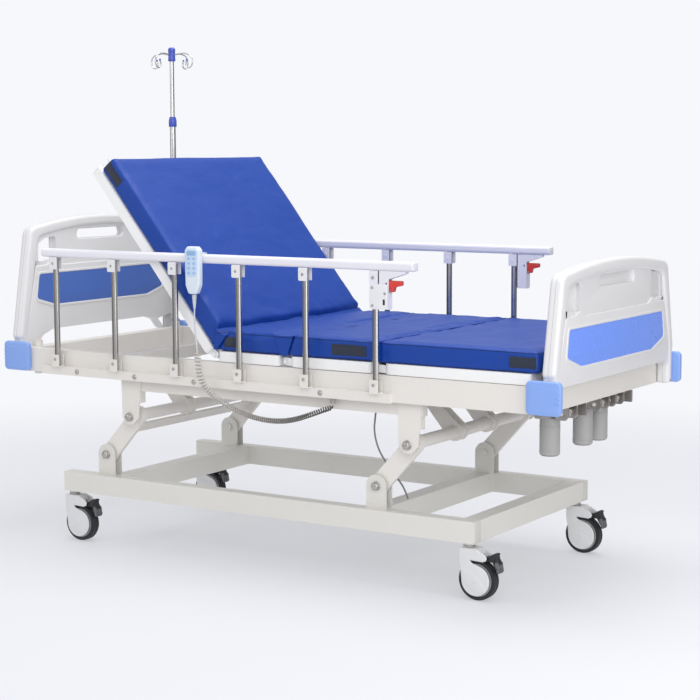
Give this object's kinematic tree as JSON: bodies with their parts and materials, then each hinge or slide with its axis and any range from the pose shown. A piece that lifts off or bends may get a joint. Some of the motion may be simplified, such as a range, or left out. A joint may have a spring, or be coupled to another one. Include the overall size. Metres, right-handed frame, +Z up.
{
  "type": "adjustable hospital bed",
  "caption": "Wheeled hospital bed with raisable back, thigh and leg sections, height lift, folding side guards, end boards, IV pole and corded handset.",
  "frame": {"origin": "on the floor under the middle of the bed, wheels standing on z = 0", "axes": "+X towards the foot end, +Y to the side with the IV pole, +Z up"},
  "size_m": [2.14, 0.981, 1.726],
  "materials": {
    "base_paint": "satin",
    "frame_paint": "satin",
    "bumper_blue": "satin",
    "inset_blue": "gloss",
    "board_plastic": "satin",
    "mattress_cover": "woven",
    "tyre": "matte",
    "castor_plastic": "satin",
    "pedal_plastic": "matte",
    "stainless": "polished",
    "rail_aluminium": "satin",
    "latch_red": "satin",
    "actuator_plastic": "satin",
    "handset_plastic": "satin",
    "cord_light": "matte",
    "cord_grey": "matte"
  },
  "bodies": {
    "base": {"base_frame": "base_paint"},
    "foot_lift": {"foot_lift_frame": "frame_paint"},
    "head_lift": {"head_lift_frame": "frame_paint"},
    "lift_link": {"lift_link": "frame_paint"},
    "upper_frame": {"bed_frame": "frame_paint", "corner_bumpers": "bumper_blue", "headboard": "board_plastic", "footboard": "board_plastic", "board_insets": "inset_blue", "control_box": "actuator_plastic", "back_actuator": "actuator_plastic", "thigh_actuator": "actuator_plastic", "seat_platform": "frame_paint", "seat_mattress": "mattress_cover", "rail_channels": "rail_aluminium", "frame_screws": "stainless", "iv_pole_lower": "stainless", "handset_curly_cord": "cord_light", "power_lead": "cord_grey"},
    "back_section": {"back_platform": "frame_paint", "back_mattress": "mattress_cover"},
    "thigh_section": {"thigh_platform": "frame_paint", "thigh_mattress": "mattress_cover"},
    "leg_section": {"leg_platform": "frame_paint", "leg_mattress": "mattress_cover"},
    "back_rod": {"back_push_rod": "stainless"},
    "thigh_rod": {"thigh_push_rod": "stainless"},
    "lift_drive": {"lift_actuator": "actuator_plastic"},
    "lift_rod": {"lift_push_rod": "stainless"},
    "iv_upper": {"iv_pole_upper": "stainless"},
    "near_post_1": {"near_post_1": "stainless"},
    "near_post_2": {"near_post_2": "stainless"},
    "near_post_3": {"near_post_3": "stainless"},
    "near_post_4": {"near_post_4": "stainless"},
    "near_post_5": {"near_post_5": "stainless"},
    "near_post_6": {"near_post_6": "stainless"},
    "near_guard": {"near_top_rail": "rail_aluminium", "handset": "handset_plastic", "handset_lead": "cord_light"},
    "near_latch": {"near_latch_lever": "latch_red"},
    "far_post_1": {"far_post_1": "stainless"},
    "far_post_2": {"far_post_2": "stainless"},
    "far_post_3": {"far_post_3": "stainless"},
    "far_post_4": {"far_post_4": "stainless"},
    "far_post_5": {"far_post_5": "stainless"},
    "far_post_6": {"far_post_6": "stainless"},
    "far_guard": {"far_top_rail": "rail_aluminium"},
    "far_latch": {"far_latch_lever": "latch_red"},
    "castor_near_head": {"castor_fork_near_head": "castor_plastic"},
    "wheel_near_head": {"castor_wheel_near_head": "tyre"},
    "pedal_near_head": {"castor_pedal_near_head": "pedal_plastic"},
    "castor_near_foot": {"castor_fork_near_foot": "castor_plastic"},
    "wheel_near_foot": {"castor_wheel_near_foot": "tyre"},
    "pedal_near_foot": {"castor_pedal_near_foot": "pedal_plastic"},
    "castor_far_head": {"castor_fork_far_head": "castor_plastic"},
    "wheel_far_head": {"castor_wheel_far_head": "tyre"},
    "pedal_far_head": {"castor_pedal_far_head": "pedal_plastic"},
    "castor_far_foot": {"castor_fork_far_foot": "castor_plastic"},
    "wheel_far_foot": {"castor_wheel_far_foot": "tyre"},
    "pedal_far_foot": {"castor_pedal_far_foot": "pedal_plastic"}
  },
  "joints": [
    {"name": "height", "type": "hinge", "parent": "base", "child": "foot_lift", "pos_m": [0.404, 0, 0.311], "axis": [0, 1, 0], "range_deg": [-10, 54], "deforming": ["power_lead"]},
    {"name": "frame_level", "type": "hinge", "parent": "foot_lift", "child": "upper_frame", "pos_m": [0.535, 0, 0.455], "axis": [0, 1, 0], "range_deg": [-54, 10]},
    {"name": "head_arm", "type": "hinge", "parent": "base", "child": "head_lift", "pos_m": [-0.681, 0, 0.311], "axis": [0, 1, 0], "range_deg": [-10, 54]},
    {"name": "link_level", "type": "hinge", "parent": "foot_lift", "child": "lift_link", "pos_m": [0.4325, -0.09, 0.5575], "axis": [0, 1, 0], "range_deg": [-54, 10]},
    {"name": "lift_drive_tilt", "type": "hinge", "parent": "upper_frame", "child": "lift_drive", "pos_m": [0.978, 0.117, 0.566], "axis": [0, 1, 0], "range_deg": [-1.5, 6.5]},
    {"name": "lift_stroke", "type": "slide", "parent": "lift_drive", "child": "lift_rod", "axis": [-1, 0, 0], "range_m": [-0.122, 0.024]},
    {"name": "back_hinge", "type": "hinge", "parent": "upper_frame", "child": "back_section", "pos_m": [-0.18, 0, 0.69], "axis": [0, 1, 0], "range_deg": [-51.2, 18.8]},
    {"name": "back_stroke", "type": "slide", "parent": "upper_frame", "child": "back_rod", "axis": [-1, 0, 0], "range_m": [-0.109, 0.041]},
    {"name": "thigh_hinge", "type": "hinge", "parent": "upper_frame", "child": "thigh_section", "pos_m": [0.1, 0, 0.685], "axis": [0, -1, 0], "range_deg": [0, 40]},
    {"name": "knee_hinge", "type": "hinge", "parent": "thigh_section", "child": "leg_section", "pos_m": [0.442, 0, 0.685], "axis": [0, -1, 0], "range_deg": [-65.2, 0]},
    {"name": "thigh_stroke", "type": "slide", "parent": "upper_frame", "child": "thigh_rod", "axis": [-1, 0, 0], "range_m": [-0.073, 0.001]},
    {"name": "near_post_1_pivot", "type": "hinge", "parent": "upper_frame", "child": "near_post_1", "pos_m": [-0.821, -0.45, 0.64], "axis": [0, 1, 0], "range_deg": [0, 80]},
    {"name": "near_post_2_pivot", "type": "hinge", "parent": "upper_frame", "child": "near_post_2", "pos_m": [-0.5662, -0.45, 0.64], "axis": [0, 1, 0], "range_deg": [0, 80]},
    {"name": "near_guard_fold", "type": "hinge", "parent": "upper_frame", "child": "near_post_3", "pos_m": [-0.3114, -0.45, 0.64], "axis": [0, 1, 0], "range_deg": [0, 80], "deforming": ["handset_curly_cord"]},
    {"name": "near_post_4_pivot", "type": "hinge", "parent": "upper_frame", "child": "near_post_4", "pos_m": [-0.0566, -0.45, 0.64], "axis": [0, 1, 0], "range_deg": [0, 80]},
    {"name": "near_post_5_pivot", "type": "hinge", "parent": "upper_frame", "child": "near_post_5", "pos_m": [0.1982, -0.45, 0.64], "axis": [0, 1, 0], "range_deg": [0, 80]},
    {"name": "near_post_6_pivot", "type": "hinge", "parent": "upper_frame", "child": "near_post_6", "pos_m": [0.453, -0.45, 0.64], "axis": [0, 1, 0], "range_deg": [0, 80]},
    {"name": "near_rail_level", "type": "hinge", "parent": "near_post_3", "child": "near_guard", "pos_m": [-0.3114, -0.45, 0.966], "axis": [0, 1, 0], "range_deg": [-80, 0]},
    {"name": "near_latch_pull", "type": "hinge", "parent": "near_guard", "child": "near_latch", "pos_m": [0.497, -0.4485, 0.949], "axis": [0, -1, 0], "range_deg": [0, 10], "stiffness_Nm_per_rad": 1.5, "springref_deg": -8.59},
    {"name": "far_post_1_pivot", "type": "hinge", "parent": "upper_frame", "child": "far_post_1", "pos_m": [-0.821, 0.45, 0.64], "axis": [0, 1, 0], "range_deg": [0, 80]},
    {"name": "far_post_2_pivot", "type": "hinge", "parent": "upper_frame", "child": "far_post_2", "pos_m": [-0.5662, 0.45, 0.64], "axis": [0, 1, 0], "range_deg": [0, 80]},
    {"name": "far_guard_fold", "type": "hinge", "parent": "upper_frame", "child": "far_post_3", "pos_m": [-0.3114, 0.45, 0.64], "axis": [0, 1, 0], "range_deg": [0, 80]},
    {"name": "far_post_4_pivot", "type": "hinge", "parent": "upper_frame", "child": "far_post_4", "pos_m": [-0.0566, 0.45, 0.64], "axis": [0, 1, 0], "range_deg": [0, 80]},
    {"name": "far_post_5_pivot", "type": "hinge", "parent": "upper_frame", "child": "far_post_5", "pos_m": [0.1982, 0.45, 0.64], "axis": [0, 1, 0], "range_deg": [0, 80]},
    {"name": "far_post_6_pivot", "type": "hinge", "parent": "upper_frame", "child": "far_post_6", "pos_m": [0.453, 0.45, 0.64], "axis": [0, 1, 0], "range_deg": [0, 80]},
    {"name": "far_rail_level", "type": "hinge", "parent": "far_post_3", "child": "far_guard", "pos_m": [-0.3114, 0.45, 0.966], "axis": [0, 1, 0], "range_deg": [-80, 0]},
    {"name": "far_latch_pull", "type": "hinge", "parent": "far_guard", "child": "far_latch", "pos_m": [0.497, 0.4485, 0.949], "axis": [0, -1, 0], "range_deg": [0, 10], "stiffness_Nm_per_rad": 1.5, "springref_deg": -8.59},
    {"name": "iv_pole_height", "type": "slide", "parent": "upper_frame", "child": "iv_upper", "axis": [0, 0, 1], "range_m": [-0.2, 0.45]},
    {"name": "swivel_near_head", "type": "hinge", "parent": "base", "child": "castor_near_head", "pos_m": [-0.83, -0.368, 0.15], "axis": [0, 0, 1], "continuous": true},
    {"name": "roll_near_head", "type": "hinge", "parent": "castor_near_head", "child": "wheel_near_head", "pos_m": [-0.797, -0.368, 0.0625], "axis": [0, 1, 0], "continuous": true},
    {"name": "brake_near_head", "type": "hinge", "parent": "castor_near_head", "child": "pedal_near_head", "pos_m": [-0.768, -0.368, 0.128], "axis": [0, 1, 0], "range_deg": [0, 12]},
    {"name": "swivel_near_foot", "type": "hinge", "parent": "base", "child": "castor_near_foot", "pos_m": [0.732, -0.368, 0.15], "axis": [0, 0, 1], "continuous": true},
    {"name": "roll_near_foot", "type": "hinge", "parent": "castor_near_foot", "child": "wheel_near_foot", "pos_m": [0.765, -0.368, 0.0625], "axis": [0, 1, 0], "continuous": true},
    {"name": "brake_near_foot", "type": "hinge", "parent": "castor_near_foot", "child": "pedal_near_foot", "pos_m": [0.794, -0.368, 0.128], "axis": [0, 1, 0], "range_deg": [0, 12]},
    {"name": "swivel_far_head", "type": "hinge", "parent": "base", "child": "castor_far_head", "pos_m": [-0.83, 0.368, 0.15], "axis": [0, 0, 1], "continuous": true},
    {"name": "roll_far_head", "type": "hinge", "parent": "castor_far_head", "child": "wheel_far_head", "pos_m": [-0.797, 0.368, 0.0625], "axis": [0, 1, 0], "continuous": true},
    {"name": "brake_far_head", "type": "hinge", "parent": "castor_far_head", "child": "pedal_far_head", "pos_m": [-0.768, 0.368, 0.128], "axis": [0, 1, 0], "range_deg": [0, 12]},
    {"name": "swivel_far_foot", "type": "hinge", "parent": "base", "child": "castor_far_foot", "pos_m": [0.732, 0.368, 0.15], "axis": [0, 0, 1], "continuous": true},
    {"name": "roll_far_foot", "type": "hinge", "parent": "castor_far_foot", "child": "wheel_far_foot", "pos_m": [0.765, 0.368, 0.0625], "axis": [0, 1, 0], "continuous": true},
    {"name": "brake_far_foot", "type": "hinge", "parent": "castor_far_foot", "child": "pedal_far_foot", "pos_m": [0.794, 0.368, 0.128], "axis": [0, 1, 0], "range_deg": [0, 12]}
  ],
  "couplings": [
    {"joint": "frame_level", "follows": "height", "ratio": -1},
    {"joint": "head_arm", "follows": "height", "ratio": 1},
    {"joint": "link_level", "follows": "height", "ratio": -1},
    {"joint": "lift_drive_tilt", "follows": "height", "ratio": 0.115},
    {"joint": "lift_stroke", "follows": "height", "m_per_rad": -0.128},
    {"joint": "back_stroke", "follows": "back_hinge", "m_per_rad": 0.1205},
    {"joint": "knee_hinge", "follows": "thigh_hinge", "ratio": -1.628},
    {"joint": "thigh_stroke", "follows": "thigh_hinge", "m_per_rad": -0.1029},
    {"joint": "near_post_1_pivot", "follows": "near_guard_fold", "ratio": 1},
    {"joint": "near_post_2_pivot", "follows": "near_guard_fold", "ratio": 1},
    {"joint": "near_post_4_pivot", "follows": "near_guard_fold", "ratio": 1},
    {"joint": "near_post_5_pivot", "follows": "near_guard_fold", "ratio": 1},
    {"joint": "near_post_6_pivot", "follows": "near_guard_fold", "ratio": 1},
    {"joint": "near_rail_level", "follows": "near_guard_fold", "ratio": -1},
    {"joint": "far_post_1_pivot", "follows": "far_guard_fold", "ratio": 1},
    {"joint": "far_post_2_pivot", "follows": "far_guard_fold", "ratio": 1},
    {"joint": "far_post_4_pivot", "follows": "far_guard_fold", "ratio": 1},
    {"joint": "far_post_5_pivot", "follows": "far_guard_fold", "ratio": 1},
    {"joint": "far_post_6_pivot", "follows": "far_guard_fold", "ratio": 1},
    {"joint": "far_rail_level", "follows": "far_guard_fold", "ratio": -1}
  ]
}
